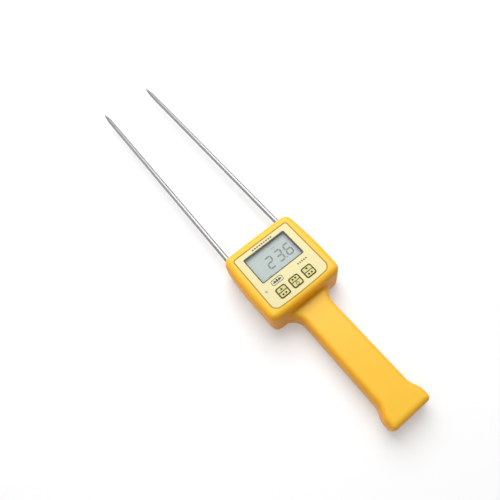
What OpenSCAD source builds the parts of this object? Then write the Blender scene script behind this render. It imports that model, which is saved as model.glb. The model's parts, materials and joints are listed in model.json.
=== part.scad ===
// Hand-held grain moisture meter with two long steel probes.
// It lies on its back: +Z is the outward normal of the face, +Y runs along the probes,
// and the origin is on the back plane, midway between the handle's end and the probe points.

/* [Overall] */
// Length from the handle's end to the probe points
overall_len = 460; // [420:1:480]
// Length of the head along the probes
head_len = 76; // [74:0.5:80]
// Length of the handle below the head
handle_len = 116; // [114:1:122]

/* [Head] */
// Width of the head at the middle of its bowed sides
head_w = 79.4; // [78:0.2:84]
// Thickness of the head
head_t = 34; // [33.6:0.1:35]
// Radius of the head's corners, seen from the front
head_corner_r = 7; // [6.5:0.5:9]
// Radius of the edge between the face and the sides
face_edge_r = 6; // [5:0.5:6.5]

/* [Handle] */
// Width of the grip
handle_w = 31.4; // [31:0.2:34]
// Thickness of the grip
handle_t = 21.6; // [21:0.1:24]
// How much wider each side becomes at the flared end
flare = 4.2; // [2:0.2:6]
// Radius of the edge along the top of the grip
grip_edge_r = 5; // [4:0.5:5.5]

/* [Casing] */
// Wall thickness of both shells
wall = 2.2; // [2:0.1:2.4]
// Height of the parting plane between the two shells
parting_z = 13.4; // [13:0.1:13.6]

/* [Face] */
// Width of the printed label
label_w = 61.6; // [60:0.2:63]
// Height of the printed label
label_h = 60.2; // [59:0.2:61]
// Width of the black display bezel
bezel_w = 46.2; // [45.6:0.1:47]
// Height of the black display bezel
bezel_h = 29; // [28.6:0.1:29.4]
// Width and height of a key
key_size = 10.4; // [9.6:0.1:10.8]
// Distance between the keys
key_pitch = 14.2; // [14:0.1:14.4]
// Travel of a key
key_travel = 0.5; // [0.3:0.1:0.5]

/* [Probes] */
// Distance between the two probes
probe_pitch = 61.4; // [60:0.2:62]
// Diameter of a probe
probe_d = 5; // [4:0.1:5.4]
// Length of the sharpened point
point_len = 15; // [10:1:20]

/* [Battery bay] */
// Diameter of a cell
cell_d = 10.5; // [10:0.1:10.5]
// Length of a cell with its button
cell_len = 44.5; // [43.5:0.1:44.5]

/* [Hidden] */
$fn = 48;

slip = 0.1;                 // gap between parts that only lie against each other
eps = 0.01;                 // overlap that joins the solids of one moulding

// Positions along the meter
end_y = -overall_len / 2;
tip_y = overall_len / 2;
head_bottom_y = end_y + handle_len;
head_top_y = head_bottom_y + head_len;
head_y = (head_bottom_y + head_top_y) / 2;
label_y = head_y - 0.5;
display_y = label_y + 9.9;
keys_y = label_y - 20.7;
key_xs = [-key_pitch, 0, key_pitch];

// Heights above the back plane
recess_z = head_t - 0.6;    // floor of the label's recess
label_t = 0.5;
ceiling_z = head_t - 2.4;   // inside of the face wall
lcd_top_z = head_t - 3.4;
lcd_t = 2.6;
lcd_w = 50.8;
lcd_h = 30.5;
lcd_ledge = 2;
board_t = 1.6;
board_top_z = head_t - 12;
board_z = board_top_z - board_t;

// Head outline
side_bow = 1.8;
end_bow = 0.8;
back_bow = 0.5;             // bow of the head's sides at the back
head_back_r = 1.2;          // radius of the head's edge at the back
back_edge_r = 2.5;          // the same for the handle
draft = 0.4;                // how far the walls lean in between the parting plane and an edge
arc_steps = 5;              // segments in each corner of an outline
bow_steps = 8;              // segments along each bowed side
edge_steps = 6;             // segments across each rounded edge

// Handle outline
end_corner_r = 4;
neck_r = 14.5;
flare_start = 21;           // distances from the handle's end
flare_end = 8;
neck_y = head_bottom_y + 1.2;   // the neck's curves end inside the bowed wall of the head
neck_into_head = 9;
fillet_r = 3.2;                 // fillet between the top of the grip and the head
fillet_steps = 6;

// Opening and lens of the indicator light
indicator_x = -25.4;
indicator_y = label_y - 12.1;
indicator_hole_r = 1;
lens_r = 0.9;
lens_z = board_top_z + 1.2;
key_gap = 0.4;              // how much wider than its key an opening is

// Circuit board and its screws, from the head's centre
board_w = 66;
board_low = -28;
board_high = 29;
board_boss_r = 2.5;
board_pilot_r = 1;
board_holes = [[-30.4, 25.4], [30.4, 25.4], [-24.5, -25.2], [24.5, -25.2]];

// Casing screws
case_screws_xy = [[-20, head_y + 32.4], [20, head_y + 32.4], [-32, head_y - 31.6], [32, head_y - 31.6],
    [0, end_y + 6.6]];
screw_seat_z = 6;
screw_head_r = 2.6;
screw_head_h = 1.8;
screw_r = 1.2;
screw_len = 16;
end_screw_len = 11;         // the screw in the grip is shorter
screw_well_r = 4;
screw_clear_r = 1.6;
case_boss_r = 3;
screw_bore_r = 1.25;

// Components on the back of the board, from the head's centre
chip_size = 10;
chip_t = 1.6;
crystal_x = 14;
crystal_y = -8;
crystal_r = 2.3;
crystal_half_len = 3.2;
crystal_h = 3.5;
capacitor_x = -16;
capacitor_ys = [-8, -16];
capacitor_r = 2.5;
capacitor_h = 6;
socket_size = [8, 5, 4];
sockets = [[0, -20], [-20, 17], [20, 17]];

// Switches under the keys
switch_size = 6.2;
switch_h = 3.4;
plunger_r = 1.75;
plunger_top_z = board_top_z + 5;
key_flange_t = 1;
key_flange_z = ceiling_z - slip - key_flange_t;

// Probes
probe_x = probe_pitch / 2;
shank_r = 2;
shank_len = 17;
shoulder_y = head_top_y - 0.3;
seat_t = 4.4;               // thickness of the wall where it holds a bush
seat_w = 12;
seat_h = 6;
bush_r = 3.6;
bush_flange_r = 4.8;
bush_flange_t = 2;
bush_flange_y = head_top_y - seat_t - slip - bush_flange_t;
nut_t = 3.2;
nut_af = 8;
lug_t = 0.8;
lug_y = bush_flange_y - nut_t - lug_t;
lug_w = 2.4;
lug_reach = 7.4;            // from the probe's axis to the end of the lug's tab

// Battery holder
holder_wall = 1.2;
holder_top_y = head_bottom_y - 6;
contact_t = 0.4;
spring_len = 4.4;
row_len = 2 * cell_len + spring_len + 2 * contact_t;
holder_end_y = holder_top_y - row_len - 2 * holder_wall;
row_x = cell_d / 2 + 0.35;
holder_in_w = 4 * row_x - 0.2;
holder_w = holder_in_w + 2 * holder_wall;
holder_z = wall + 1.2;
cell_z = holder_z + 0.3 + cell_d / 2;
holder_roof_z = cell_z + cell_d / 2 + 0.3;
holder_top_z = holder_roof_z + holder_wall;
ledge_w = handle_w / 2 - wall;

// Battery door
door_w = 24.8;
door_t = 2;
door_hinge_y = head_bottom_y - 3.8;
door_hinge_z = 0.8;
bead_r = 0.8;
door_gap = 0.2;
door_end_y = holder_end_y - 0.6;

// Spring and wires
spring_wire_r = 0.35;
spring_turns = 4;
spring_gap = 0.05;
wire_r = 0.6;
wire_sides = 8;

// ---------- outlines and general shapes ----------

// Points of an arc around c, from angle a0 to a1, in n segments
function arc(c, r, a0, a1, n) =
    [for (i = [0:n]) let (a = a0 + (a1 - a0) * i / n) c + r * [cos(a), sin(a)]];

// Points strictly between p and q, in n segments
function between(p, q, n) = [for (i = [1:n - 1]) p + (q - p) * i / n];

// Rectangle with rounded corners, half sizes a and b, whose sides are cut into n segments
function rounded_box(a, b, r, n) =
    let (cx = a - r, cy = b - r)
    concat(
        arc([cx, cy], r, 0, 90, arc_steps), between([cx, b], [-cx, b], n),
        arc([-cx, cy], r, 90, 180, arc_steps), between([-a, cy], [-a, -cy], n),
        arc([-cx, -cy], r, 180, 270, arc_steps), between([-cx, -b], [cx, -b], n),
        arc([cx, -cy], r, 270, 360, arc_steps), between([a, -cy], [a, cy], n));

// Head outline, inset by d: a rounded rectangle with bowed sides
function head_outline(d, bow = side_bow) =
    let (a = head_w / 2 - side_bow, b = head_len / 2 - end_bow)
    [for (p = rounded_box(a - d, b - d, max(head_corner_r - d, 1), bow_steps))
        [p.x * (1 + bow / a * (1 - pow(p.y / b, 2))),
         head_y + p.y * (1 + end_bow / b * (1 - pow(p.x / a, 2)))]];

// A curve that rises smoothly from 0 to 1
function smooth_step(t) = let (u = min(max(t, 0), 1)) u * u * (3 - 2 * u);

// Half width of the handle at a distance s from its end, without the corner
function flared_w(s) =
    handle_w / 2 + flare * smooth_step((flare_start - s) / (flare_start - flare_end));

// Right-hand side of the handle's outline, inset by d, from the end up into the head
function handle_side(d) =
    let (r = max(end_corner_r - d, 1), w = flared_w(0) - d)
    concat(
        arc([w - r, end_y + d + r], r, -90, 0, arc_steps),
        [for (s = [flare_end + 1:2:flare_start + 1]) [flared_w(s) - d, end_y + s]],
        arc([handle_w / 2 + neck_r, neck_y - neck_r], neck_r + d, 180, 90, arc_steps + 1),
        [[handle_w / 2 + neck_r, head_bottom_y + neck_into_head]]);

function mirrored(points) = [for (i = [len(points) - 1:-1:0]) [-points[i].x, points[i].y]];

function handle_outline(d) = concat(handle_side(d), mirrored(handle_side(d)));

// Label outline: small corners at the top, large ones and a bowed edge at the bottom
function label_outline(grow) =
    let (a = label_w / 2, b = label_h / 2, top_r = 3, low_r = 6.5, bow = 1.1,
         points = concat(
            arc([a - top_r, b - top_r], top_r + grow, 0, 90, arc_steps),
            arc([top_r - a, b - top_r], top_r + grow, 90, 180, arc_steps),
            arc([low_r - a, low_r - b], low_r + grow, 180, 270, arc_steps),
            between([low_r - a, -b - grow], [a - low_r, -b - grow], bow_steps),
            arc([a - low_r, low_r - b], low_r + grow, 270, 360, arc_steps)))
    [for (p = points) [p.x, label_y + p.y + bow * min(p.y, 0) / b * (1 - pow(p.x / a, 2))]];

// Profile of an edge with radius r whose flat is at height z_flat; up is 1 at the top and -1 at the back.
// Each entry is [height, inset, bow]
function edge_profile(z_flat, r, up, steps, bow = side_bow) =
    [for (i = [0:steps]) let (a = 90 * i / steps)
        [z_flat - up * r * (1 - sin(a)), draft + r * (1 - cos(a)), bow]];

function reversed(list) = [for (i = [len(list) - 1:-1:0]) list[i]];

// Solid through a stack of outlines of equal length.
// Each entry of profile starts with a height, from the bottom up
module loft(profile, outlines) {
    n = len(outlines[0]);
    last = len(outlines) - 1;
    polyhedron(
        points = [for (k = [0:last]) for (p = outlines[k]) [p.x, p.y, profile[k][0]]],
        faces = concat(
            [[for (i = [0:n - 1]) i]],
            [[for (i = [n - 1:-1:0]) last * n + i]],
            [for (k = [0:last - 1]) for (i = [0:n - 1])
                [k * n + i, (k + 1) * n + i, (k + 1) * n + (i + 1) % n, k * n + (i + 1) % n]]),
        convexity = 6);
}

module head_loft(profile, inset = 0) {
    loft(profile, [for (p = profile) head_outline(p[1] + inset, p[2])]);
}

module handle_loft(profile, inset = 0) {
    loft(profile, [for (p = profile) handle_outline(p[1] + inset)]);
}

// Plate with rounded corners, centred on x and y
module plate(w, h, r, t) {
    linear_extrude(t) polygon(rounded_box(w / 2, h / 2, r, 1));
}

// Rectangular ring with rounded corners
module frame_ring(w, h, r, in_w, in_h, in_r, t) {
    difference() {
        plate(w, h, r, t);
        translate([0, 0, -1]) plate(in_w, in_h, in_r, t + 2);
    }
}

module at_keys() {
    for (x = key_xs) translate([x, keys_y, 0]) children();
}

module at_board_holes() {
    for (p = board_holes) translate([p.x, head_y + p.y, 0]) children();
}

module at_case_screws() {
    for (p = case_screws_xy) translate([p.x, p.y, 0]) children();
}

// Children drawn along +Z are laid along +Y at the axis of one probe
module on_probe_axis(side, y) {
    translate([side * probe_x, y, parting_z]) rotate([-90, 0, 0]) children();
}

// Round wire that follows a list of points, as one closed tube; the path never runs along upright
module tube(path, r, sides, upright = [0, 0, 1]) {
    last = len(path) - 1;
    function direction(i) =
        let (d = path[min(i + 1, last)] - path[max(i - 1, 0)]) d / norm(d);
    function side_axis(d) = let (c = cross(d, upright)) c / norm(c);
    polyhedron(
        points = [for (i = [0:last])
            let (d = direction(i), u = side_axis(d), v = cross(d, u))
            for (k = [0:sides - 1]) let (a = 360 * k / sides) path[i] + r * (cos(a) * u + sin(a) * v)],
        faces = concat(
            [[for (k = [sides - 1:-1:0]) k]],
            [[for (k = [0:sides - 1]) last * sides + k]],
            [for (i = [0:last - 1]) for (k = [0:sides - 1])
                [i * sides + k, i * sides + (k + 1) % sides,
                 (i + 1) * sides + (k + 1) % sides, (i + 1) * sides + k]]));
}

// Points of a smooth curve through control points, four to a span
function curve(p) =
    let (last = len(p) - 1)
    concat([for (i = [0:last - 1]) for (t = [0:0.25:0.75])
        let (a = p[max(i - 1, 0)], b = p[i], c = p[i + 1], d = p[min(i + 2, last)])
        0.5 * (2 * b + (c - a) * t + (2 * a - 5 * b + 4 * c - d) * t * t
            + (3 * b - a - 3 * c + d) * t * t * t)], [p[last]]);

// ---------- casing ----------

module front_outer() {
    head_loft(concat([[parting_z, 0, side_bow]], edge_profile(head_t, face_edge_r, 1, edge_steps)));
    handle_loft(concat([[parting_z, 0]], edge_profile(handle_t, grip_edge_r, 1, edge_steps)));
    neck_fillet();
}

// Concave fillet where the top of the grip runs up the lower wall of the head
module neck_fillet() {
    flat_w = handle_w / 2 - draft - grip_edge_r;
    heights = [for (k = [0:fillet_steps]) fillet_r * (1 - cos(70 * k / fillet_steps))];
    function rise_outline(h) =
        let (reach = fillet_r - sqrt(h * (2 * fillet_r - h)), low_w = flat_w + 0.8 - 0.5 * h,
             high_w = flat_w + 2.6 - 0.8 * h, y = head_bottom_y)
        [[-low_w, y - reach], [low_w, y - reach], [high_w, y + 0.3], [high_w, y + 3], [-high_w, y + 3],
         [-high_w, y + 0.3]];
    loft(
        concat([[handle_t - 2, 0]], [for (h = heights) [handle_t + h, 0]]),
        [for (h = concat([0], heights)) rise_outline(h)]);
}

module front_cavity() {
    head_loft(
        [[parting_z - 1, 0, side_bow], [head_t - face_edge_r, draft, side_bow],
         [ceiling_z - 1, 1.6, side_bow], [ceiling_z, 3, side_bow]], wall);
    handle_loft([[parting_z - 1, 0], [handle_t - grip_edge_r, draft], [handle_t - wall, 3]], wall);
}

// Front half of the casing, with the face, the top of the grip and the screw bosses
module front_shell() {
    color("gold")
    difference() {
        union() {
            difference() {
                front_outer();
                front_cavity();
            }
            at_board_holes() translate([0, 0, board_top_z])
                cylinder(r = board_boss_r, h = ceiling_z - board_top_z + eps);
            front_bosses();
            bush_seats(parting_z) front_outer();
        }
        // Recess and openings in the face
        translate([0, 0, recess_z]) linear_extrude(2) polygon(label_outline(slip));
        translate([0, display_y, ceiling_z - 1]) plate(bezel_w + 2 * slip, bezel_h + 2 * slip, 1.5, 4);
        at_keys() translate([0, 0, ceiling_z - 1]) plate(key_size + key_gap, key_size + key_gap, 2, 4);
        translate([indicator_x, indicator_y, ceiling_z - 1]) cylinder(r = indicator_hole_r, h = 4);
        // Pilot holes for the screws
        at_board_holes() translate([0, 0, board_top_z - 1]) cylinder(r = board_pilot_r, h = 8);
        at_case_screws() translate([0, 0, parting_z - 1]) cylinder(r = screw_bore_r, h = 6);
        for (p = [0:3]) translate([case_screws_xy[p].x, case_screws_xy[p].y, parting_z])
            cylinder(r = screw_bore_r, h = 10);
        // Half of each probe bush's seat
        bush_bores();
    }
}

// Thicker stretches of the end wall, cut out of the outer shape, that hold the probe bushes
module bush_seats(z) {
    intersection() {
        children();
        for (side = [-1, 1]) translate([side * probe_x - seat_w / 2, head_top_y - seat_t, z])
            cube([seat_w, seat_t, seat_h]);
    }
}

// Bores of the bushes, and room for their flanges in the corners of the head
module bush_bores() {
    for (side = [-1, 1]) {
        on_probe_axis(side, head_top_y - 2 * seat_t) cylinder(r = bush_r + slip / 2, h = 3 * seat_t);
        on_probe_axis(side, bush_flange_y - 1)
            cylinder(r = bush_flange_r + slip, h = bush_flange_t + 1 + slip / 2);
    }
}

module front_bosses() {
    for (p = [0:3]) translate([case_screws_xy[p].x, case_screws_xy[p].y, parting_z])
        cylinder(r = case_boss_r, h = ceiling_z - parting_z + eps);
    translate([case_screws_xy[4].x, case_screws_xy[4].y, parting_z])
        cylinder(r = case_boss_r, h = handle_t - wall - parting_z + eps);
}

module rear_outer() {
    head_loft(concat(reversed(edge_profile(0, head_back_r, -1, 4, back_bow)), [[parting_z, 0, side_bow]]));
    handle_loft(concat(reversed(edge_profile(0, back_edge_r, -1, 4)), [[parting_z, 0]]));
}

module rear_cavity() {
    head_loft(
        [[wall, 1.2, back_bow], [wall + 1.5, draft, back_bow], [parting_z, 0, side_bow],
         [parting_z + 1, 0, side_bow]], wall);
    handle_loft([[wall, 1.2], [wall + 1.5, draft], [parting_z + 1, 0]], wall);
}

// Opening in the back for the battery door, with a dent for a fingertip
module door_opening() {
    low_y = door_end_y - door_gap;
    high_y = door_hinge_y + bead_r + door_gap;
    translate([-door_w / 2 - door_gap, low_y, -1]) cube([door_w + 2 * door_gap, high_y - low_y, wall + 3]);
    translate([0, low_y + 1, -2.6]) sphere(r = 4);
}

// Rear half of the casing, with screw wells and the ledges that carry the battery holder
module rear_shell() {
    color("goldenrod")
    difference() {
        union() {
            difference() {
                rear_outer();
                rear_cavity();
            }
            at_case_screws() translate([0, 0, wall - eps])
                cylinder(r = screw_well_r, h = parting_z - wall + eps);
            for (side = [-1, 1])
                translate([side * (ledge_w + 0.2) - (side > 0 ? 1 : 0), holder_end_y, wall - eps])
                    cube([1, holder_top_y - holder_end_y, holder_z - wall + eps]);
            bush_seats(parting_z - seat_h) rear_outer();
        }
        door_opening();
        at_case_screws() {
            translate([0, 0, -1]) cylinder(r = screw_head_r + 0.3, h = screw_seat_z + 1);
            translate([0, 0, screw_seat_z - 1]) cylinder(r = screw_clear_r, h = parting_z);
        }
        bush_bores();
    }
}

// Self-tapping screws that hold the two shells together
module case_screws() {
    color("silver")
    for (i = [0:4]) translate([case_screws_xy[i].x, case_screws_xy[i].y, 0])
        difference() {
            union() {
                translate([0, 0, screw_seat_z - screw_head_h]) cylinder(r = screw_head_r, h = screw_head_h);
                translate([0, 0, screw_seat_z - eps])
                    cylinder(r = screw_r, h = i < 4 ? screw_len : end_screw_len);
            }
            for (turn = [0, 90]) translate([0, 0, screw_seat_z - 2]) rotate([0, 0, turn])
                translate([-1.6, -0.3, 0]) cube([3.2, 0.6, 1]);
        }
}

// ---------- face and display ----------

// Printed overlay that lies in the recess of the face
module face_label() {
    color("lemonchiffon")
    difference() {
        translate([0, 0, recess_z]) linear_extrude(label_t) polygon(label_outline(0));
        translate([0, display_y, recess_z - 1]) plate(bezel_w + 2 * slip, bezel_h + 2 * slip, 1.5, 4);
        at_keys() translate([0, 0, recess_z - 1]) plate(key_size + key_gap, key_size + key_gap, 2, 4);
        translate([indicator_x, indicator_y, recess_z - 1]) cylinder(r = indicator_hole_r, h = 4);
    }
}

// Black frame around the display, held behind the face wall by its flange
module display_bezel() {
    color("black")
    translate([0, display_y, 0]) {
        translate([0, 0, lcd_top_z])
            frame_ring(bezel_w, bezel_h, 1.4, bezel_w - 1.8, bezel_h - 1.8, 0.9, head_t - lcd_top_z);
        translate([0, 0, lcd_top_z])
            frame_ring(bezel_w + 4, bezel_h + 4, 1.4, bezel_w - 0.4, bezel_h - 0.4, 1.2,
                ceiling_z - slip - lcd_top_z);
    }
}

// Clear pane bonded into the front of the bezel
module display_window() {
    color("lightblue", 0.4)
    translate([0, display_y, head_t - 1.2]) plate(bezel_w - 1.9, bezel_h - 1.9, 0.9, 1);
}

// Liquid-crystal cell: a front glass with contact ledges above and below a narrower rear glass
module lcd_panel() {
    color("darkseagreen")
    translate([0, display_y, lcd_top_z]) union() {
        translate([-lcd_w / 2, -lcd_h / 2, -lcd_t / 2]) cube([lcd_w, lcd_h, lcd_t / 2]);
        translate([-lcd_w / 2, lcd_ledge - lcd_h / 2, -lcd_t])
            cube([lcd_w, lcd_h - 2 * lcd_ledge, lcd_t / 2 + eps]);
    }
}

// Frame that locates the display glass over the board
module lcd_holder() {
    color("dimgray")
    translate([0, display_y, board_top_z])
        frame_ring(lcd_w + 4.4, lcd_h + 4.3, 1, lcd_w + 2 * slip, lcd_h + 2 * slip, 0.3,
            lcd_top_z - board_top_z - 0.4);
}

// Two conductive rubber strips between the board and the display glass
module zebra_strips() {
    color("gray")
    for (side = [-1, 1])
        translate([-23, display_y + side * (lcd_h - lcd_ledge) / 2 - 0.9, board_top_z])
            cube([46, 1.8, lcd_top_z - lcd_t / 2 - board_top_z]);
}

// ---------- board ----------

module circuit_board() {
    color("darkgreen")
    difference() {
        translate([-board_w / 2, head_y + board_low, board_z])
            cube([board_w, board_high - board_low, board_t]);
        at_board_holes() translate([0, 0, board_z - 1]) cylinder(r = 1.2, h = board_t + 2);
    }
}

module board_screws() {
    color("silver")
    at_board_holes() {
        translate([0, 0, board_z - 1.5]) cylinder(r = 1.9, h = 1.5);
        translate([0, 0, board_z - eps]) cylinder(r = 0.95, h = board_t + 6);
    }
}

module microcontroller() {
    color("black")
    translate([-chip_size / 2, head_y + 2, board_z - chip_t]) cube([chip_size, chip_size, chip_t]);
}

module quartz_crystal() {
    color("silver")
    translate([crystal_x, head_y + crystal_y, board_z - crystal_h]) {
        for (x = [-1, 1]) translate([x * crystal_half_len, 0, 0]) cylinder(r = crystal_r, h = crystal_h);
        translate([-crystal_half_len, 0.05 - crystal_r, 0])
            cube([2 * crystal_half_len, 2 * crystal_r - 0.1, crystal_h]);
    }
}

module capacitors() {
    color("navy")
    for (y = capacitor_ys) translate([capacitor_x, head_y + y, board_z - capacitor_h])
        cylinder(r = capacitor_r, h = capacitor_h);
}

// Sockets on the back of the board for the battery and probe wires
module wire_connectors() {
    color("ivory")
    for (p = sockets)
        translate([p.x - socket_size.x / 2, head_y + p.y - socket_size.y / 2, board_z - socket_size.z])
            cube(socket_size);
}

// Small light on the board, under the lens beside the keys
module indicator_led() {
    color("tomato")
    translate([indicator_x - 1.2, indicator_y - 0.8, board_top_z]) cube([2.4, 1.6, 1]);
}

// Light pipe that ends flush with the label
module indicator_lens() {
    color("tan")
    translate([indicator_x, indicator_y, lens_z]) {
        cylinder(r = lens_r, h = recess_z + label_t - lens_z);
        translate([0, 0, ceiling_z - 1 - slip - lens_z]) cylinder(r = 2 * lens_r, h = 1);
    }
}

// ---------- keys ----------

// Key cap with the flange that retains it and the stem that works its switch
module key(x) {
    translate([x, keys_y, 0]) union() {
        translate([0, 0, key_flange_z + key_flange_t - eps])
            plate(key_size, key_size, 1.8, head_t + 0.2 - key_flange_z - key_flange_t + eps);
        translate([0, 0, key_flange_z]) plate(key_size + 2.2, key_size + 2.2, 2.4, key_flange_t);
        translate([0, 0, plunger_top_z]) cylinder(r = 2.2, h = key_flange_z - plunger_top_z + eps);
    }
}

module key_up() {
    color("khaki") key(-key_pitch);
}

module key_power() {
    color("khaki") key(0);
}

module key_down() {
    color("khaki") key(key_pitch);
}

// Bodies of the three switches, each with a bore for its plunger
module key_switches() {
    color("dimgray")
    at_keys() translate([0, 0, board_top_z])
    difference() {
        translate([-switch_size / 2, -switch_size / 2, 0]) cube([switch_size, switch_size, switch_h]);
        translate([0, 0, 0.5]) cylinder(r = plunger_r + 0.05, h = switch_h);
    }
}

module plunger(x) {
    color("black")
    translate([x, keys_y, board_top_z + 0.5 + key_travel + slip])
        cylinder(r = plunger_r, h = plunger_top_z - board_top_z - 0.5 - key_travel - slip);
}

module plunger_up() {
    plunger(-key_pitch);
}

module plunger_power() {
    plunger(0);
}

module plunger_down() {
    plunger(key_pitch);
}

// ---------- probes ----------

// Steel rod with a sharpened point, a shoulder against its bush and a thinner shank inside the head
module probe(side) {
    rod_len = tip_y - point_len - shoulder_y;
    color("silver")
    on_probe_axis(side, shoulder_y) union() {
        cylinder(r = probe_d / 2, h = rod_len);
        translate([0, 0, rod_len - eps]) cylinder(r1 = probe_d / 2, r2 = 1.4, h = 9 + eps);
        translate([0, 0, rod_len + 9 - eps]) cylinder(r1 = 1.4, r2 = 0.15, h = point_len - 9 + eps);
        translate([0, 0, -shank_len]) cylinder(r = shank_r, h = shank_len + eps);
    }
}

module probe_left() {
    probe(-1);
}

module probe_right() {
    probe(1);
}

// Insulating bush that carries a probe in the end wall of the head
module probe_bush(side) {
    color("whitesmoke")
    on_probe_axis(side, bush_flange_y)
    difference() {
        union() {
            cylinder(r = bush_flange_r, h = bush_flange_t);
            cylinder(r = bush_r, h = shoulder_y - bush_flange_y);
        }
        translate([0, 0, -1]) cylinder(r = shank_r + 0.05, h = 12);
    }
}

module probe_bush_left() {
    probe_bush(-1);
}

module probe_bush_right() {
    probe_bush(1);
}

// Two nuts on each shank, with the wire's lug between them
module probe_nuts() {
    color("goldenrod")
    for (side = [-1, 1]) for (y = [bush_flange_y - nut_t, lug_y - nut_t]) on_probe_axis(side, y)
        difference() {
            cylinder(r = nut_af / 2 / cos(30), h = nut_t, $fn = 6);
            translate([0, 0, -1]) cylinder(r = shank_r + 0.05, h = nut_t + 2);
        }
}

module probe_lugs() {
    color("silver")
    for (side = [-1, 1]) {
        difference() {
            union() {
                on_probe_axis(side, lug_y) cylinder(r = 3.6, h = lug_t);
                translate([side * (probe_x - lug_reach / 2) - lug_reach / 2, lug_y, parting_z - lug_w / 2])
                    cube([lug_reach, lug_t, lug_w]);
            }
            on_probe_axis(side, lug_y - 1) cylinder(r = shank_r + 0.05, h = lug_t + 2);
        }
    }
}

// Wire from a probe's lug to its socket on the board
function probe_wire_path(side) = [
    [side * 24.6, lug_y - wire_r - slip, parting_z],
    [side * 24.6, lug_y - 3, parting_z + 0.4],
    [side * 25.6, lug_y - 6.5, board_z - 4],
    [side * 26.2, lug_y - 9.5, board_z - 2.2],
    [side * (24 + slip + wire_r), head_y + 17, board_z - 2]];

module probe_wire_left() {
    color("firebrick") tube(curve(probe_wire_path(-1)), wire_r, wire_sides);
}

module probe_wire_right() {
    color("black") tube(curve(probe_wire_path(1)), wire_r, wire_sides);
}

// ---------- battery bay ----------

// Open-backed tray for two rows of two cells
module battery_holder() {
    color("dimgray")
    difference() {
        union() {
            translate([-holder_w / 2, holder_end_y, holder_z])
                cube([holder_w, holder_top_y - holder_end_y, holder_top_z - holder_z]);
            translate([-ledge_w + 0.6, holder_end_y + 2, holder_z])
                cube([2 * ledge_w - 1.2, holder_top_y - holder_end_y - 4, holder_wall]);
        }
        translate([-holder_in_w / 2, holder_end_y + holder_wall, holder_z - 1])
            cube([holder_in_w, row_len, holder_roof_z - holder_z + 1]);
        // Slots for the contacts' wire tabs
        for (side = [-1, 1]) translate([side * row_x - 1.7, holder_top_y - holder_wall - 1, cell_z - 0.5])
            cube([3.4, 4, 1]);
    }
}

// Dry cell with its button; up is 1 when the button points to the head
module cell(x, y, up) {
    color("steelblue")
    translate([x, y, cell_z]) rotate([up > 0 ? -90 : 90, 0, 0]) translate([0, 0, -cell_len / 2]) {
        cylinder(r = cell_d / 2, h = cell_len - 1);
        cylinder(r = 1.9, h = cell_len);
    }
}

tail_y = holder_end_y + holder_wall + contact_t;
front_y = holder_top_y - holder_wall - contact_t;

module cell_1() {
    cell(-row_x, tail_y + cell_len / 2, -1);
}

module cell_2() {
    cell(-row_x, tail_y + 1.5 * cell_len, -1);
}

module cell_3() {
    cell(row_x, tail_y + spring_len + cell_len / 2, 1);
}

module cell_4() {
    cell(row_x, tail_y + spring_len + 1.5 * cell_len, 1);
}

// Conical coil spring from the plate at y0 towards a cell; dir is its direction along y
module contact_spring(x, y0, dir) {
    rise = spring_len - 2 * (spring_wire_r + spring_gap);
    steps = spring_turns * 12;
    tube([for (i = [0:steps])
        let (t = i / steps, a = 30 * i, r = 4 - 1.6 * t)
        [x + r * cos(a), y0 + dir * (spring_wire_r + spring_gap + rise * t), cell_z + r * sin(a)]],
        spring_wire_r, 6, [0, 1, 0]);
}

module contact_plate(x, y, w) {
    translate([x - w / 2, y, cell_z - 4.4]) cube([w, contact_t, 8.8]);
}

// Tab of a contact plate, where its wire is soldered
module contact_tab(x) {
    translate([x - 1.5, front_y, cell_z - 0.2]) cube([3, 3.4, 0.4]);
}

// Plates at the head end of the two rows, each with its wire tab
module contact_negative() {
    color("silver") {
        contact_plate(-row_x, front_y, 8.8);
        contact_tab(-row_x);
    }
}

module contact_positive() {
    color("silver") {
        contact_plate(row_x, front_y, 8.8);
        contact_tab(row_x);
    }
}

// Plate across both rows at the far end
module contact_bridge() {
    color("silver") contact_plate(0, tail_y - contact_t, 2 * row_x + 8.8);
}

// One spring in each row, at the negative end
module contact_springs() {
    color("silver") {
        contact_spring(-row_x, front_y, -1);
        contact_spring(row_x, tail_y, 1);
    }
}

// Wire from a contact's tab, through the neck, to the socket on the board
function battery_wire_path(side) = [
    [side * row_x, front_y + 3.4 + slip, cell_z],
    [side * row_x, front_y + 6, cell_z + 1],
    [side * 4.5, head_bottom_y + 4, parting_z + 1],
    [side * 2, head_y - 26, board_z - 3],
    [side * 2, head_y - 22.5 - slip, board_z - 2]];

module battery_wire_red() {
    color("firebrick") tube(curve(battery_wire_path(1)), wire_r, wire_sides);
}

module battery_wire_black() {
    color("black") tube(curve(battery_wire_path(-1)), wire_r, wire_sides);
}

// Door that hooks under the casing at one end and snaps shut at the other
module battery_door() {
    color("goldenrod")
    difference() {
        union() {
            translate([-door_w / 2, door_end_y, 0]) cube([door_w, door_hinge_y - door_end_y, door_t]);
            translate([-door_w / 2, door_hinge_y, door_hinge_z]) rotate([0, 90, 0])
                cylinder(r = bead_r, h = door_w);
            for (x = [-8, 8]) translate([x - 2.5, 0, 0]) {
                translate([0, door_hinge_y - 3, door_t - eps]) cube([5, 2.4, 1.2 + eps]);
                translate([0, door_hinge_y - 3, wall + slip]) cube([5, 6.4, 0.9]);
            }
        }
        // Slots that free the latch tongue, and its grip grooves
        for (x = [-7, 6.2]) translate([x, door_end_y - 1, -1]) cube([0.8, 12, 4]);
        for (i = [0:3]) translate([-4.5, door_end_y + 3 + 2 * i, -1]) cube([9, 0.8, 1.4]);
    }
}

// Foam strip inside the door that steadies the cells
module door_pad() {
    color("darkslategray")
    translate([-8, (holder_end_y + holder_top_y) / 2 - 20, door_t]) cube([16, 40, 1.4]);
}

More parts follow.
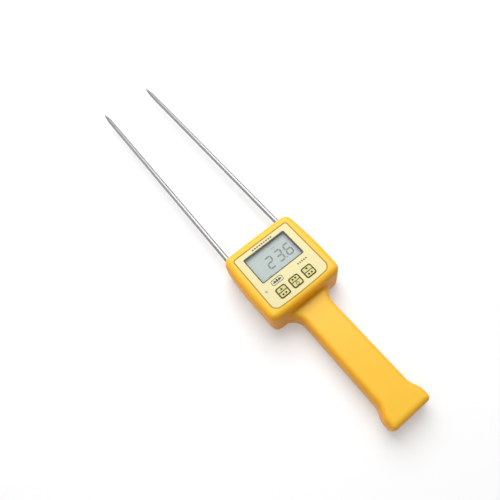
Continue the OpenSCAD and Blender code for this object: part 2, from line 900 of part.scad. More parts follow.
front_shell();
rear_shell();
face_label();
display_bezel();
display_window();
lcd_panel();
lcd_holder();
zebra_strips();
circuit_board();
board_screws();
case_screws();
key_up();
key_power();
key_down();
key_switches();
plunger_up();
plunger_power();
plunger_down();
indicator_lens();
indicator_led();
microcontroller();
quartz_crystal();
capacitors();
wire_connectors();
probe_left();
probe_right();
probe_bush_left();
probe_bush_right();
probe_nuts();
probe_lugs();
probe_wire_left();
probe_wire_right();
battery_holder();
cell_1();
cell_2();
cell_3();
cell_4();
contact_negative();
contact_positive();
contact_bridge();
contact_springs();
battery_wire_red();
battery_wire_black();
battery_door();
door_pad();
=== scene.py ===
"""Looks of a hand-held grain moisture meter: a yellow casing with a display and keys, and two steel probes.

The meter's lengths are in millimetres in the frame's own axes, and new_object() turns them into metres. The
camera, the lights and the floor are placed in metres. +Z points out of the face, +Y runs along the probes,
and the meter lies on its back on z = 0.
"""

import json
import math

import bmesh
import bpy
from mathutils import Matrix, Vector


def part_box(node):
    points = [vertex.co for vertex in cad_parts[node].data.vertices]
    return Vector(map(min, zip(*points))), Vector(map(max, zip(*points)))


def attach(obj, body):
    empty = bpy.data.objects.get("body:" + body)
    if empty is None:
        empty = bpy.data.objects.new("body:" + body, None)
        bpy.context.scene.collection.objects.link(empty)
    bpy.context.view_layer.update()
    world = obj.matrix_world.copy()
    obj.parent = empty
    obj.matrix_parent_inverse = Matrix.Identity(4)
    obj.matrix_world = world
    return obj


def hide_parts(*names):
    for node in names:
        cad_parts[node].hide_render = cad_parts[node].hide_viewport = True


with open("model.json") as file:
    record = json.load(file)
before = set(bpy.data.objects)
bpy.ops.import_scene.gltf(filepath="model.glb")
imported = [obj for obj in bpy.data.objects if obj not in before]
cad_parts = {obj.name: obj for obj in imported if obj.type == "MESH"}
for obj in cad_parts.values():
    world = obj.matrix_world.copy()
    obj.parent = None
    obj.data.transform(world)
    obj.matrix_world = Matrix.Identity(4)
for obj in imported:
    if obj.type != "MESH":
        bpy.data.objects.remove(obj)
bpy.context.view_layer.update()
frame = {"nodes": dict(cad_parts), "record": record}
MM = 0.001

# ---------- sizes, as in the design ----------

SHELL_LOW, SHELL_HIGH = (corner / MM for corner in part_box("front_shell"))
END_Y = SHELL_LOW.y
HEAD_TOP = SHELL_HIGH.y
HEAD_LEN = 76
HEAD_BOTTOM = HEAD_TOP - HEAD_LEN
HEAD_Y = HEAD_TOP - HEAD_LEN / 2
HEAD_W = 79.4
HEAD_T = SHELL_HIGH.z
PARTING = SHELL_LOW.z
HEAD_CORNER = 7
FACE_EDGE, BACK_EDGE, HEAD_BACK_EDGE = 6, 2.5, 1.2
SIDE_BOW, BACK_BOW, END_BOW = 1.8, 0.5, 0.8
DRAFT = 0.4
HANDLE_W, HANDLE_T, GRIP_EDGE = 31.4, 21.6, 5
FLARE, FLARE_START, FLARE_END, END_CORNER = 4.2, 21, 8, 4
NECK_R, NECK_Y = 14.5, HEAD_BOTTOM + 1.2
WALL, FACE_WALL = 2.2, 2.4
SEAM = 0.09                # half the gap between the two shells

LABEL_Y = HEAD_Y - 0.5
LABEL_W, LABEL_H = 61.6, 60.2
LABEL_Z, LABEL_T = HEAD_T - 0.6, 0.5
LABEL_TOP = LABEL_Z + LABEL_T
DISPLAY_Y = LABEL_Y + 9.9
BEZEL_W, BEZEL_H = 46.2, 29
LCD_Z = HEAD_T - 3.4
LCD_W, LCD_H, LCD_LEDGE, LCD_T = 50.8, 30.5, 2, 2.6
KEY_SIZE, KEY_PITCH, KEY_Y, KEY_TOP = 10.4, 14.2, LABEL_Y - 20.7, HEAD_T + 0.2
KEYS = (("key_up", "up_key", -KEY_PITCH), ("key_power", "power_key", 0), ("key_down", "down_key", KEY_PITCH))
BEZEL_GAP, KEY_GAP = 0.1, 0.2
LENS_X, LENS_Y = -25.4, LABEL_Y - 12.1
PRINT_T, PRINT_EDGE = 0.04, 0.01    # a printed mark's thickness and the rounding of its edge
PRINT_LOW, PRINT_HIGH = KEY_TOP - 0.01, KEY_TOP + PRINT_T

PROBE_X = 30.7
PROBE_R, SHANK_R, SHANK_LEN = 2.5, 2, 17
BUSH_HOLE_R, BUSH_HOLE_LEN = 3.65, 8
PROBE_Z = PARTING
TIP_Y = 230
POINT_LEN = 15
SHOULDER_Y = HEAD_TOP - 0.3

HEAD_SCREWS = [(-20, HEAD_Y + 32.4), (20, HEAD_Y + 32.4), (-32, HEAD_Y - 31.6), (32, HEAD_Y - 31.6)]
CASE_SCREWS = HEAD_SCREWS + [(0, END_Y + 6.6)]
HEAD_SCREW_LEN, GRIP_SCREW_LEN = 16, 11
SCREW_HEAD_R, SCREW_HEAD_T, SCREW_R, THREAD_PITCH = 2.6, 1.8, 1.2, 0.9
SCREW_SEAT = 6             # height at which the heads bear on the rear shell
SCREW_POST_R, SCREW_WELL_R, SCREW_HOLE_R = 4, 2.9, 1.6

DOOR_LOW, DOOR_HIGH = (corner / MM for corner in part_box("battery_door"))
DOOR_W = DOOR_HIGH.x - DOOR_LOW.x
DOOR_HINGE_Y, DOOR_NOSE = HEAD_BOTTOM - 3.8, 0.6    # the panel reaches past its hinge by its nose
DOOR_END_Y = DOOR_LOW.y
DOOR_T, DOOR_GAP = 2, 0.2
HOOK_X, HOOK_HALF_W = 8, 2.5
DENT_R, DENT_Z = 4, -2.6   # the ball that presses the finger dent beside the door's latch

SHARP = math.radians(32)   # edges sharper than this keep a crease


# ---------- camera, floor and light ----------

def add_camera():
    """The photograph's view: from in front of the grip, high up, and turned a little."""
    heading, elevation, roll = math.radians(22.06), math.radians(62.98), math.radians(-17.4)
    camera = bpy.data.objects.new("camera", bpy.data.cameras.new("camera"))
    camera.data.lens = 27.9
    camera.data.sensor_width = 36
    camera.data.clip_start = 0.01
    turn = (Matrix.Rotation(-heading, 4, "Z") @ Matrix.Rotation(math.pi / 2 - elevation, 4, "X")
            @ Matrix.Rotation(roll, 4, "Z"))
    camera.matrix_world = Matrix.Translation((-0.0712, -0.1945, 0.3441)) @ turn
    bpy.context.scene.collection.objects.link(camera)
    bpy.context.scene.camera = camera


def add_area_light(name, place, target, size, power):
    light = bpy.data.lights.new(name, "AREA")
    light.shape = "DISK"
    light.size = size
    light.energy = power
    holder = bpy.data.objects.new(name, light)
    holder.location = place
    holder.rotation_euler = (Vector(target) - Vector(place)).to_track_quat("-Z", "Y").to_euler()
    bpy.context.scene.collection.objects.link(holder)


def add_sky():
    """A sky that is brightest high up on the probes' side, and darkens towards the horizon."""
    bpy.context.scene.view_settings.view_transform = "Standard"
    world = bpy.data.worlds.new("studio")
    bpy.context.scene.world = world
    world.use_nodes = True
    nodes, links = world.node_tree.nodes, world.node_tree.links
    nodes.clear()
    where = nodes.new("ShaderNodeTexCoord")
    height = nodes.new("ShaderNodeVectorMath")
    height.operation = "DOT_PRODUCT"
    height.inputs[1].default_value = (0.15, 0.42, 0.895)
    ramp = nodes.new("ShaderNodeValToRGB")
    ramp.color_ramp.elements[0].position = 0.1
    ramp.color_ramp.elements[0].color = (0.11, 0.11, 0.115, 1)
    ramp.color_ramp.elements[1].position = 0.8
    ramp.color_ramp.elements[1].color = (1, 1, 1, 1)
    sky = nodes.new("ShaderNodeBackground")
    sky.inputs["Strength"].default_value = 0.83
    output = nodes.new("ShaderNodeOutputWorld")
    links.new(where.outputs["Generated"], height.inputs[0])
    links.new(height.outputs["Value"], ramp.inputs[0])
    links.new(ramp.outputs[0], sky.inputs["Color"])
    links.new(sky.outputs[0], output.inputs["Surface"])


def add_floor():
    """A plain pale floor that glows a little, which keeps the shadows on it soft."""
    floor = bpy.data.meshes.new("floor")
    floor.from_pydata([(-4, -4, 0), (4, -4, 0), (4, 4, 0), (-4, 4, 0)], [], [(0, 1, 2, 3)])
    holder = bpy.data.objects.new("floor", floor)
    bpy.context.scene.collection.objects.link(holder)
    material = bpy.data.materials.new("floor_white")
    material.use_nodes = True
    shader = material.node_tree.nodes["Principled BSDF"]
    shader.inputs["Base Color"].default_value = (0.53, 0.53, 0.53, 1)
    shader.inputs["Roughness"].default_value = 0.7
    shader.inputs["Emission Color"].default_value = (1, 1, 1, 1)
    shader.inputs["Emission Strength"].default_value = 0.24
    floor.materials.append(material)


def add_studio():
    add_sky()
    add_area_light("key_light", (0.26, 0.36, 0.78), (0, 0, 0), 0.95, 11.5)
    add_area_light("fill_light", (-0.6, -0.2, 1.2), (0, 0, 0), 1.2, 2)
    add_area_light("side_light", (-0.9, 0.8, 0.15), (0, 0.05, 0), 0.8, 2.5)
    add_floor()


# ---------- materials ----------

def noise_at(tree, place, scale, detail):
    texture = tree.nodes.new("ShaderNodeTexNoise")
    texture.inputs["Scale"].default_value = scale
    texture.inputs["Detail"].default_value = detail
    tree.links.new(place, texture.inputs["Vector"])
    return texture.outputs["Fac"]


def remap(tree, value, source, target):
    """A socket whose number runs over target while value runs over source."""
    node = tree.nodes.new("ShaderNodeMapRange")
    for end, number in zip(("From Min", "From Max", "To Min", "To Max"), (*source, *target)):
        node.inputs[end].default_value = number
    tree.links.new(value, node.inputs["Value"])
    return node.outputs[0]


def blend(tree, factor, base, colour):
    """A socket whose colour goes from base, which is a colour or a socket, to another colour."""
    mix = tree.nodes.new("ShaderNodeMix")
    mix.data_type = "RGBA"
    mix.inputs["B"].default_value = (*colour, 1)
    tree.links.new(factor, mix.inputs["Factor"])
    if isinstance(base, bpy.types.NodeSocket):
        tree.links.new(base, mix.inputs["A"])
    else:
        mix.inputs["A"].default_value = (*base, 1)
    return mix.outputs["Result"]


def painted_wall_shade_mask(tree, normal):
    """A socket that is 0 on level surfaces and 1 on upright ones, the mask of the shade painted on walls."""
    direction = tree.nodes.new("ShaderNodeSeparateXYZ")
    tree.links.new(normal, direction.inputs[0])
    upward = tree.nodes.new("ShaderNodeMath")
    upward.operation = "ABSOLUTE"
    tree.links.new(direction.outputs["Z"], upward.inputs[0])
    return remap(tree, upward.outputs[0], (0.995, 0.5), (0, 1))


def surface(name, colour, roughness, *, spread, patch, grain, bump=0.05, depth=0.1, stretch=(1, 1, 1),
            metallic=0, coat=0, specular=0.5, alpha=1, wear=0, rough_spread=0.06, subsurface=0, side=None):
    """A material whose colour and roughness drift in soft patches, with a fine grain in relief.

    spread is how far the colour drifts, patch and grain are the two textures' scales per metre, stretch their
    proportions along x, y and z, depth the relief's height in millimetres, and wear lightens the sharp edges.
    side is a deeper colour painted on walls that stand upright: painted shade, darker where the light falls
    on them less.
    """
    material = bpy.data.materials.new(name)
    material.use_nodes = True
    tree = material.node_tree
    where = tree.nodes.new("ShaderNodeTexCoord")
    mapping = tree.nodes.new("ShaderNodeMapping")
    mapping.inputs["Scale"].default_value = stretch
    tree.links.new(where.outputs["Object"], mapping.inputs[0])
    patches = noise_at(tree, mapping.outputs[0], patch, 3)
    grains = noise_at(tree, mapping.outputs[0], grain, 2)

    darker = [channel * (1 - spread) for channel in colour]
    lighter = [min(channel * (1 + spread), 1) for channel in colour]
    tone = blend(tree, patches, darker, lighter)
    # Painted shade: upright walls are blended towards the deeper side colour, as if less light fell on them.
    if side:
        tone = blend(tree, painted_wall_shade_mask(tree, where.outputs["Normal"]), tone, side)
    if wear:
        edges = tree.nodes.new("ShaderNodeNewGeometry")
        worn = [min(channel * 1.3 + 0.04, 1) for channel in colour]
        tone = blend(tree, remap(tree, edges.outputs["Pointiness"], (0.52, 0.62), (0, wear)), tone, worn)
    rough_range = (max(roughness - rough_spread, 0.02), min(roughness + rough_spread, 1))
    relief = tree.nodes.new("ShaderNodeBump")
    relief.inputs["Strength"].default_value = bump
    relief.inputs["Distance"].default_value = depth * MM
    tree.links.new(grains, relief.inputs["Height"])

    shader = tree.nodes["Principled BSDF"]
    tree.links.new(tone, shader.inputs["Base Color"])
    tree.links.new(remap(tree, grains, (0, 1), rough_range), shader.inputs["Roughness"])
    tree.links.new(relief.outputs[0], shader.inputs["Normal"])
    shader.inputs["Metallic"].default_value = metallic
    shader.inputs["Coat Weight"].default_value = coat
    shader.inputs["Coat Roughness"].default_value = 0.12
    shader.inputs["Specular IOR Level"].default_value = specular
    shader.inputs["Alpha"].default_value = alpha
    shader.inputs["Subsurface Weight"].default_value = subsurface
    shader.inputs["Subsurface Radius"].default_value = (1, 0.35, 0.1)
    shader.inputs["Subsurface Scale"].default_value = 3 * MM
    return material


# The yellow's side colour is painted shade: its upright walls are painted a deeper orange than its tops.
YELLOW = surface("yellow_abs", (0.67, 0.387, 0.026), 0.42, spread=0.03, patch=25, grain=2600, bump=0.12,
                 depth=0.05, wear=0.25, specular=0.25, subsurface=0.08, side=(0.78, 0.33, 0.004))
LABEL = surface("label_film", (0.51, 0.445, 0.205), 0.42, spread=0.025, patch=90, grain=2200, bump=0.06,
                depth=0.02)
# The label's edge ring is partly print and partly painted shade, standing in for the shade in the narrow gap
# round the label.
LABEL_PRINT_AND_GAP_SHADE = surface("label_print_and_gap_shade", (0.28, 0.185, 0.006), 0.5, spread=0.1, patch=200, grain=2500, specular=0.2)
INK = surface("dark_ink", (0.028, 0.023, 0.004), 0.5, spread=0.25, patch=900, grain=3500, bump=0.05,
              depth=0.01, specular=0.2)
PALE_INK = surface("pale_ink", (0.50, 0.47, 0.31), 0.45, spread=0.06, patch=500, grain=3000)
GREY_INK = surface("grey_ink", (0.035, 0.03, 0.018), 0.5, spread=0.2, patch=700, grain=3000)
KEY_FILM = surface("key_film", (0.41, 0.37, 0.095), 0.42, spread=0.05, patch=250, grain=2600, bump=0.08,
                   depth=0.03, wear=0.15)
BLACK = surface("black_abs", (0.022, 0.022, 0.020), 0.4, spread=0.25, patch=120, grain=2600, bump=0.1,
                depth=0.04)
GREY = surface("grey_abs", (0.10, 0.10, 0.105), 0.5, spread=0.15, patch=120, grain=2600, bump=0.1, depth=0.04)
WINDOW = surface("clear_acrylic", (0.92, 0.95, 0.95), 0.16, spread=0.02, patch=80, grain=900, bump=0.005,
                 specular=0.3, alpha=0.05, rough_spread=0.02)
LCD = surface("lcd_glass", (0.255, 0.307, 0.285), 0.45, spread=0.035, patch=40, grain=2500, bump=0.02,
              depth=0.01, specular=0.3)
SEGMENT = surface("lcd_segment", (0.012, 0.018, 0.022), 0.45, spread=0.12, patch=300, grain=3000, bump=0.02)
FAINT = surface("lcd_faint_segment", (0.12, 0.15, 0.15), 0.35, spread=0.08, patch=300, grain=3000, bump=0.02)
STEEL = surface("polished_steel", (0.28, 0.28, 0.275), 0.42, spread=0.08, patch=700, grain=2600, bump=0.05,
                depth=0.02, stretch=(1, 0.04, 1), metallic=1, rough_spread=0.07)
ZINC = surface("zinc_steel", (0.60, 0.61, 0.63), 0.3, spread=0.1, patch=300, grain=2400, bump=0.08,
               depth=0.03, metallic=1)
TINNED = surface("tinned_copper", (0.66, 0.65, 0.62), 0.28, spread=0.08, patch=200, grain=2000, bump=0.06,
                 depth=0.03, metallic=1)
BRASS = surface("brass", (0.72, 0.50, 0.20), 0.28, spread=0.1, patch=250, grain=2200, bump=0.06, depth=0.03,
                metallic=1)
NYLON = surface("white_nylon", (0.55, 0.53, 0.48), 0.5, spread=0.04, patch=120, grain=2000, bump=0.08,
                depth=0.03, subsurface=0.15)
LENS = surface("lens_plastic", (0.26, 0.21, 0.11), 0.2, spread=0.15, patch=600, grain=2500, bump=0.03,
               coat=0.5)
BOARD = surface("board_laminate", (0.012, 0.13, 0.05), 0.32, spread=0.35, patch=260, grain=1800, bump=0.15,
                depth=0.05, coat=0.4)
RUBBER = surface("conductive_rubber", (0.05, 0.05, 0.05), 0.7, spread=0.6, patch=4000, grain=2600,
                 stretch=(1, 0.02, 0.02))
SLEEVE = surface("capacitor_sleeve", (0.02, 0.035, 0.14), 0.25, spread=0.15, patch=200, grain=2200, coat=0.4)
JACKET = surface("cell_jacket", (0.035, 0.09, 0.26), 0.3, spread=0.12, patch=90, grain=2400, bump=0.03,
                 coat=0.6)
JACKET_BAND = surface("cell_band", (0.62, 0.60, 0.55), 0.3, spread=0.06, patch=90, grain=2400, bump=0.03,
                      coat=0.6)
RED_WIRE = surface("red_wire", (0.50, 0.02, 0.02), 0.4, spread=0.1, patch=300, grain=2400)
BLACK_WIRE = surface("black_wire", (0.02, 0.02, 0.02), 0.4, spread=0.2, patch=300, grain=2400)
FOAM = surface("foam", (0.045, 0.05, 0.05), 0.9, spread=0.5, patch=1400, grain=1600, bump=0.9, depth=0.25)


# ---------- outlines ----------

def arc(centre, r, start, stop, steps):
    """Points of an arc, with angles in degrees."""
    angles = [math.radians(start + (stop - start) * i / steps) for i in range(steps + 1)]
    return [(centre[0] + r * math.cos(a), centre[1] + r * math.sin(a)) for a in angles]


def between(p, q, steps):
    """Points strictly between p and q."""
    return [(p[0] + (q[0] - p[0]) * i / steps, p[1] + (q[1] - p[1]) * i / steps) for i in range(1, steps)]


def rounded_box(a, b, r, corner_steps, side_steps=1):
    """Counter-clockwise rectangle with half sizes a and b and rounded corners."""
    x, y = a - r, b - r
    return (arc((x, y), r, 0, 90, corner_steps) + between((x, b), (-x, b), side_steps)
            + arc((-x, y), r, 90, 180, corner_steps) + between((-a, y), (-a, -y), side_steps)
            + arc((-x, -y), r, 180, 270, corner_steps) + between((-x, -b), (x, -b), side_steps)
            + arc((x, -y), r, 270, 360, corner_steps) + between((a, -y), (a, y), side_steps))


def moved(points, x, y):
    return [(px + x, py + y) for px, py in points]


def head_outline(inset, bow=SIDE_BOW):
    """The head seen from the front: a rounded rectangle with bowed sides."""
    a, b = HEAD_W / 2 - SIDE_BOW, HEAD_LEN / 2 - END_BOW
    box = rounded_box(a - inset, b - inset, max(HEAD_CORNER - inset, 1), corner_steps=10, side_steps=24)
    return [(x * (1 + bow / a * (1 - (y / b) ** 2)),
             HEAD_Y + y * (1 + END_BOW / b * (1 - (x / a) ** 2))) for x, y in box]


def flared_half_width(s):
    """Half width of the grip at a distance s from its end."""
    t = min(max((FLARE_START - s) / (FLARE_START - FLARE_END), 0), 1)
    return HANDLE_W / 2 + FLARE * t * t * (3 - 2 * t)


def handle_outline(inset):
    """The grip seen from the front, from its flared end up into the head."""
    r = max(END_CORNER - inset, 1)
    w = flared_half_width(0) - inset
    side = arc((w - r, END_Y + inset + r), r, -90, 0, 10)
    side += [(flared_half_width(s) - inset, END_Y + s) for s in range(FLARE_END + 1, FLARE_START + 2)]
    straight_x, neck_y = HANDLE_W / 2 - inset, NECK_Y - NECK_R
    side += between((straight_x, END_Y + FLARE_START + 1), (straight_x, neck_y), 30)
    side += arc((HANDLE_W / 2 + NECK_R, neck_y), NECK_R + inset, 180, 90, 16)
    side += [(HANDLE_W / 2 + NECK_R, HEAD_BOTTOM + 9)]
    return side + [(-x, y) for x, y in reversed(side)]


def label_outline(inset):
    """The label: small corners at the top, large ones and a bowed edge at the bottom."""
    a, b = LABEL_W / 2, LABEL_H / 2
    top_r, low_r, bow = 3, 6.5, 1.1
    points = (arc((a - top_r, b - top_r), top_r - inset, 0, 90, 8)
              + arc((top_r - a, b - top_r), top_r - inset, 90, 180, 8)
              + arc((low_r - a, low_r - b), low_r - inset, 180, 270, 12)
              + between((low_r - a, inset - b), (a - low_r, inset - b), 16)
              + arc((a - low_r, low_r - b), low_r - inset, 270, 360, 12))
    return [(x, LABEL_Y + y + bow * min(y, 0) / b * (1 - (x / a) ** 2)) for x, y in points]


def box_outline(w, h, r, x, y, steps=8):
    """A function of the inset that gives a rounded rectangle's outline."""
    def outline(inset):
        return moved(rounded_box(w / 2 - inset, h / 2 - inset, max(r - inset, 0.05), steps), x, y)
    return outline


def disc_outline(r, x, y, steps=32):
    """A function of the inset that gives a circle's outline."""
    angles = [2 * math.pi * i / steps for i in range(steps)]
    return lambda inset: [(x + (r - inset) * math.cos(a), y + (r - inset) * math.sin(a)) for a in angles]


# ---------- meshes ----------

def join_loops(loops, closed=False):
    """Vertices and quads through loops of equal length.

    The first and last loops are capped, or are joined to each other if closed is set.
    """
    n = len(loops[0])
    verts = [v for loop in loops for v in loop]
    pairs = [(k, (k + 1) % len(loops)) for k in range(len(loops) if closed else len(loops) - 1)]
    faces = [(a * n + i, a * n + (i + 1) % n, b * n + (i + 1) % n, b * n + i)
             for a, b in pairs for i in range(n)]
    if not closed:
        faces += [tuple(reversed(range(n))), tuple((len(loops) - 1) * n + i for i in range(n))]
    return verts, faces


def at_height(outline, z):
    return [(x, y, z) for x, y in outline]


def loft(levels, outline):
    """A solid through outlines; levels are (height, the outline's arguments) from the bottom up."""
    return join_loops([at_height(outline(*arguments), z) for z, *arguments in levels])


def rounding(flat, r, up, steps):
    """Heights and insets of a rounded edge that ends in a flat; up is 1 at the top and -1 at the bottom."""
    angles = [math.pi / 2 * i / steps for i in range(steps + 1)]
    return [(flat - up * r * (1 - math.sin(a)), r * (1 - math.cos(a))) for a in angles]


def plate(outline, low, high, edge, steps=3, both=False):
    """A plate with a rounded top edge, and a rounded bottom edge too if both is set.

    A last loop on each flat keeps the shading of the edge off the flat.
    """
    top = rounding(high, edge, 1, steps) + [(high, edge * 1.3)]
    bottom = [(low, edge * 1.3), *reversed(rounding(low, edge, -1, steps))] if both else [(low, 0)]
    return loft(bottom + top, outline)


def ring(outer, inner, low, high, edge, steps=3):
    """A frame between two outlines of equal length, with rounded top edges."""
    outside = rounding(high, edge, 1, steps)
    loops = [at_height(outer(0), low)] + [at_height(outer(inset), z) for z, inset in outside]
    loops += [at_height(inner(-inset), z) for z, inset in reversed(outside)] + [at_height(inner(0), low)]
    return join_loops(loops, closed=True)


def lathe(profile, origin, direction, segments=32):
    """A solid turned about an axis; profile holds (radius, distance along the axis)."""
    axis = Vector(direction).normalized()
    side = axis.orthogonal().normalized()
    other = axis.cross(side)
    return join_loops([circle(Vector(origin) + axis * h, max(r, 0.001), side, other, segments)
                       for r, h in profile])


def circle(centre, r, side, other, segments):
    """Points round a centre, in the plane of two unit vectors."""
    angles = [2 * math.pi * i / segments for i in range(segments)]
    return [tuple(centre + r * (side * math.cos(a) + other * math.sin(a))) for a in angles]


def sweep(path, r, sides, upright):
    """A round wire along a list of points; upright is a direction that the wire never runs along."""
    loops = []
    for i, point in enumerate(path):
        ahead = Vector(path[min(i + 1, len(path) - 1)])
        along = (ahead - Vector(path[max(i - 1, 0)])).normalized()
        side = along.cross(Vector(upright)).normalized()
        loops.append(circle(Vector(point), r, side, along.cross(side), sides))
    return join_loops(loops)


def together(parts):
    """One set of vertices and faces from several."""
    verts, faces = [], []
    for part_verts, part_faces in parts:
        faces += [tuple(i + len(verts) for i in face) for face in part_faces]
        verts += part_verts
    return verts, faces


def block(low, high, edge):
    """A box between two corners, with all its edges rounded."""
    w, h = high[0] - low[0], high[1] - low[1]
    outline = box_outline(w, h, edge * 1.5, (low[0] + high[0]) / 2, (low[1] + high[1]) / 2, 3)
    return plate(outline, low[2], high[2], edge, 2, both=True)


def new_object(name, shape):
    verts, faces = shape
    mesh = bpy.data.meshes.new(name)
    mesh.from_pydata([Vector(v) * MM for v in verts], [], faces)
    merged = bmesh.new()
    merged.from_mesh(mesh)
    bmesh.ops.remove_doubles(merged, verts=merged.verts, dist=0.0005 * MM)
    bmesh.ops.recalc_face_normals(merged, faces=merged.faces)
    merged.to_mesh(mesh)
    merged.free()
    holder = bpy.data.objects.new(name, mesh)
    bpy.context.scene.collection.objects.link(holder)
    return holder


def settle(piece, material, body="casing", replaced=()):
    """Shades a finished piece, gives it its material and its body, and hides the CAD nodes that it stands
    for.
    """
    for face in piece.data.polygons:
        face.use_smooth = True
    piece.data.set_sharp_from_angle(angle=SHARP)
    weights = piece.modifiers.new("weights", "WEIGHTED_NORMAL")
    weights.keep_sharp = True
    weights.weight = 80
    apply_modifiers(piece)
    piece.data.materials.clear()
    piece.data.materials.append(material)
    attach(piece, body)
    if replaced:
        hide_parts(*replaced)


def add_piece(name, shape, material, body="casing", replaced=()):
    settle(new_object(name, shape), material, body, replaced)


def apply_modifiers(piece):
    bpy.context.view_layer.update()
    evaluated = piece.evaluated_get(bpy.context.evaluated_depsgraph_get())
    mesh = bpy.data.meshes.new_from_object(evaluated)
    piece.modifiers.clear()
    piece.data = mesh


def combine(piece, shape, operation):
    """Cuts a shape out of a piece, or adds it to the piece."""
    tool = new_object("tool", shape)
    modifier = piece.modifiers.new("combine", "BOOLEAN")
    modifier.operation = operation
    modifier.solver = "EXACT"
    modifier.object = tool
    apply_modifiers(piece)
    bpy.data.objects.remove(tool)


# ---------- casing ----------

def edge_levels(flat, r, up):
    """The rounded edge of a shell, drawn in by the draft of its walls."""
    return [(z, DRAFT + inset) for z, inset in rounding(flat, r, up, 10)]


def whole_casing():
    """The outside of both shells as one closed skin, with soft fillets where the grip meets the head."""
    head_back = [(z, inset, BACK_BOW) for z, inset in reversed(edge_levels(0, HEAD_BACK_EDGE, -1))]
    back = list(reversed(edge_levels(0, BACK_EDGE, -1)))
    head = loft(head_back + [(PARTING, 0)] + edge_levels(HEAD_T, FACE_EDGE, 1), head_outline)
    grip = loft(back + [(PARTING, 0)] + edge_levels(HANDLE_T, GRIP_EDGE, 1), handle_outline)
    skin = new_object("skin", together([head, grip]))
    remesh = skin.modifiers.new("remesh", "REMESH")
    remesh.mode = "VOXEL"
    remesh.voxel_size = 0.6 * MM
    apply_modifiers(skin)
    round_neck(skin)
    return skin


def round_neck(skin):
    """Relaxes the skin everywhere a little, and much more in the corner between grip and head."""
    mesh = bmesh.new()
    mesh.from_mesh(skin.data)
    relax(mesh, mesh.verts[:], 2)
    for reach, passes in ((3, 8), (2, 6)):
        relax(mesh, [v for v in mesh.verts if neck_distance(v.co / MM) < reach], passes)
    mesh.to_mesh(skin.data)
    mesh.free()


def relax(mesh, verts, passes):
    for _ in range(passes):
        bmesh.ops.smooth_vert(mesh, verts=verts, factor=0.5,
                              use_axis_x=True, use_axis_y=True, use_axis_z=True)


def neck_distance(p):
    """About how far a point is from the line where the grip's top and sides meet the head's lower wall."""
    x = max(abs(p.x) - (HANDLE_W / 2 - GRIP_EDGE + 3), 0)
    top = HANDLE_T if x == 0 else HANDLE_T - min(x * 0.7, HANDLE_T)
    if abs(p.x) > HANDLE_W / 2 + NECK_R + 2 or p.z < 2:
        return 99
    if x == 0:
        return math.hypot(p.y - HEAD_BOTTOM, p.z - top)
    return abs(p.y - HEAD_BOTTOM) + 0.4 * abs(p.z - top)


def half_of(skin, name, keep_above):
    """The part of the skin above or below the seam, closed with a flat."""
    height = (PARTING + (SEAM if keep_above else -SEAM)) * MM
    mesh = bmesh.new()
    mesh.from_mesh(skin.data)
    everything = mesh.verts[:] + mesh.edges[:] + mesh.faces[:]
    cut = bmesh.ops.bisect_plane(mesh, geom=everything, plane_co=(0, 0, height), plane_no=(0, 0, 1),
                                 clear_inner=keep_above, clear_outer=not keep_above)
    rim = [item for item in cut["geom_cut"] if isinstance(item, bmesh.types.BMEdge)]
    bmesh.ops.edgeloop_fill(mesh, edges=rim)
    bmesh.ops.recalc_face_normals(mesh, faces=mesh.faces)
    half = bpy.data.meshes.new(name)
    mesh.to_mesh(half)
    mesh.free()
    holder = bpy.data.objects.new(name, half)
    bpy.context.scene.collection.objects.link(holder)
    return holder


def cylinder(x, y, low, high, r):
    return loft([(low, 0), (high, 0)], disc_outline(r, x, y, 40))


def probe_holes():
    """Cutters for the bushes that hold the probes in the head's end wall."""
    sides = [(BUSH_HOLE_R, HEAD_TOP - BUSH_HOLE_LEN), (BUSH_HOLE_R, HEAD_TOP + 3)]
    return [lathe(sides, (x, 0, PROBE_Z), (0, 1, 0), 40) for x in (-PROBE_X, PROBE_X)]


def face_openings(low, high):
    """Cutters for the display, the keys and the indicator light."""
    through = [(low, 0), (high, 0)]
    display = loft(through, box_outline(BEZEL_W + 2 * BEZEL_GAP, BEZEL_H + 2 * BEZEL_GAP, 1.5, 0, DISPLAY_Y))
    key_hole = KEY_SIZE + 2 * KEY_GAP
    keys = [loft(through, box_outline(key_hole, key_hole, 2, x, KEY_Y)) for _, _, x in KEYS]
    return [display, *keys, cylinder(LENS_X, LENS_Y, low, high, 1)]


def make_front_shell(skin):
    shell = half_of(skin, "front_shell_skin", True)
    inside = [(PARTING - 1, WALL), (HEAD_T - FACE_EDGE, WALL + DRAFT), (HEAD_T - FACE_WALL - 1, WALL + 1.6),
              (HEAD_T - FACE_WALL, WALL + 3)]
    grip_inside = [(PARTING - 1, WALL), (HANDLE_T - GRIP_EDGE, WALL + DRAFT), (HANDLE_T - WALL, WALL + 3)]
    combine(shell, loft(inside, head_outline), "DIFFERENCE")
    combine(shell, loft(grip_inside, handle_outline), "DIFFERENCE")
    combine(shell, plate(lambda inset: label_outline(inset - 0.1), LABEL_Z, HEAD_T + 2, 0.05), "DIFFERENCE")
    combine(shell, together(face_openings(HEAD_T - 4, HEAD_T + 2) + probe_holes()), "DIFFERENCE")
    settle(shell, YELLOW, replaced=["front_shell"])


